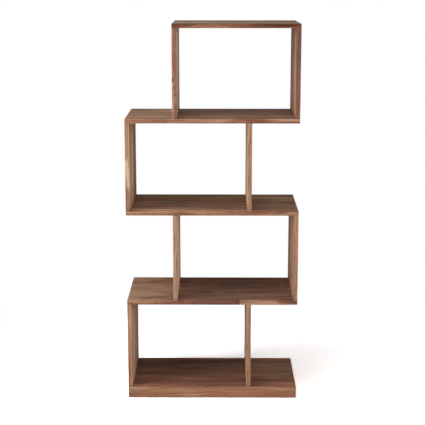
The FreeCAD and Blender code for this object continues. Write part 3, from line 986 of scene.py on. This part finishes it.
beech = speckled_material("turned_beech", BEECH_LIGHT, BEECH_DARK, BEECH_SPECKS_PER_METRE, roughness=0.55)
plastic = speckled_material(
    "moulded_plastic", PLASTIC, PLASTIC_SCUFFED, PLASTIC_SPECKS_PER_METRE, roughness=0.45,
)
dowel_names = [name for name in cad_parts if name.endswith("dowels")]
for name in dowel_names:
    paint(name, beech)
paint("glides", plastic)
print(len(dowel_names), "rows of dowels.")

# %% [markdown]
# The light. A furniture studio lights wood from the front and sides with large soft panels, so that the
# edges facing the camera are bright and the shelves fall off into shade towards the back. One small lamp
# would throw a hard shadow from every shelf. A low panel behind lights the backs of the boards. It would
# glare on the shelves, so reflections don't show it.

# %% Panel lamps
MIDDLE = (0.0, 0.0, 0.8)
UPPER_MIDDLE = (0.0, 0.0, 1.0)


def softbox(name, place, target, width, height, power):
    """A large rectangular panel lamp that faces a point."""
    lamp_data = bpy.data.lights.new(name, "AREA")
    lamp_data.shape = "RECTANGLE"
    lamp_data.size = width
    lamp_data.size_y = height
    lamp_data.energy = power
    lamp = bpy.data.objects.new(name, lamp_data)
    lamp.location = place
    lamp.rotation_euler = (Vector(target) - Vector(place)).to_track_quat("-Z", "Y").to_euler()
    lamp.visible_camera = False
    bpy.context.scene.collection.objects.link(lamp)
    return lamp


panels = [
    softbox("top_panel", (-0.8, -0.9, 3.4), UPPER_MIDDLE, width=2.4, height=1.6, power=38.0),
    softbox("left_panel", (-3.7, -2.1, 1.6), MIDDLE, width=2.0, height=2.4, power=139.0),
    softbox("right_panel", (3.7, -2.1, 1.3), MIDDLE, width=2.0, height=2.4, power=108.0),
    softbox("front_panel", (0.3, -4.8, 1.3), MIDDLE, width=2.4, height=1.6, power=22.0),
]
back_panel = softbox("back_panel", (0.0, 4.5, 0.8), MIDDLE, width=3.0, height=0.8, power=30.0)
back_panel.visible_glossy = False
print(len(panels), "panels in front and above, and one behind.")

# %% [markdown]
# The floor. The studio's floor is pale paper. A brighter lamp would make it white and burn out the wood
# too, so only what looks straight at it, in a mirror or through glass, finds it brightened to white. It
# still carries the shadow near the shelf, and further out it fades into plain white paper.

# %% Floor
FLOOR_REACH = 30.0
FLOOR_COLOUR = (0.80, 0.79, 0.78, 1.0)
FLOOR_BRIGHTENED = (2.7, 2.7, 2.7, 1.0)
FLOOR_ROUGHNESS = 0.9
WHITE = (1.0, 1.0, 1.0, 1.0)
PAPER_STARTS, PAPER_FULL = 0.45, 1.3


def finds_white(wire):
    """One for a ray that should find white: a straight look, a reflection, or a look through glass."""
    path = wire.node("ShaderNodeLightPath").outputs
    indirect = wire.math("MAXIMUM", path["Is Glossy Ray"], path["Is Transmission Ray"])
    return wire.math("MAXIMUM", path["Is Camera Ray"], indirect)


def floor_material():
    """Pale paper that looks white and keeps the shadow."""
    material = bpy.data.materials.new("pale_floor")
    material.use_nodes = True
    nodes = material.node_tree.nodes
    wire = Wiring(material.node_tree)
    shader = nodes["Principled BSDF"]
    seen = finds_white(wire)
    wire.feed(shader.inputs["Base Color"], wire.mix_colour(seen, FLOOR_COLOUR, FLOOR_BRIGHTENED))
    shader.inputs["Roughness"].default_value = FLOOR_ROUGHNESS
    shader.inputs["Specular IOR Level"].default_value = 0.0
    paper = wire.node("ShaderNodeEmission", {"Color": WHITE, "Strength": 1.0})
    away = wire.vector("LENGTH", wire.node("ShaderNodeTexCoord").outputs["Object"])
    far = wire.math("MULTIPLY", wire.smooth(away, PAPER_STARTS, PAPER_FULL), seen)
    fade = wire.node("ShaderNodeMixShader", {0: far, 1: shader.outputs[0], 2: paper.outputs[0]})
    wire.feed(nodes["Material Output"].inputs["Surface"], fade.outputs[0])
    return material


def pale_floor():
    """A wide square floor under the shelf."""
    near, far = -FLOOR_REACH, FLOOR_REACH
    mesh = bpy.data.meshes.new("floor")
    corners = [(near, near, 0.0), (far, near, 0.0), (far, far, 0.0), (near, far, 0.0)]
    mesh.from_pydata(corners, [], [(0, 1, 2, 3)])
    mesh.materials.append(floor_material())
    floor = bpy.data.objects.new("floor", mesh)
    bpy.context.scene.collection.objects.link(floor)


pale_floor()
print("The floor is", 2 * FLOOR_REACH, "m wide.")

# %% [markdown]
# The world. All round, a dim white light fills the deepest shade. Seen by the camera, in a mirror or
# through glass it is plain white, as the far floor is. The Standard view shows colours as they are
# written.

# %% World and view
AMBIENT = 0.10


def white_world():
    """Dim soft light from all round, which looks white."""
    world = bpy.data.worlds.new("studio")
    world.use_nodes = True
    wire = Wiring(world.node_tree)
    background = world.node_tree.nodes["Background"].inputs
    background["Color"].default_value = WHITE
    wire.feed(background["Strength"], wire.math("MAXIMUM", finds_white(wire), AMBIENT))
    return world


bpy.context.scene.world = white_world()
bpy.context.scene.view_settings.view_transform = "Standard"
print("The light from all round has a strength of", AMBIENT)
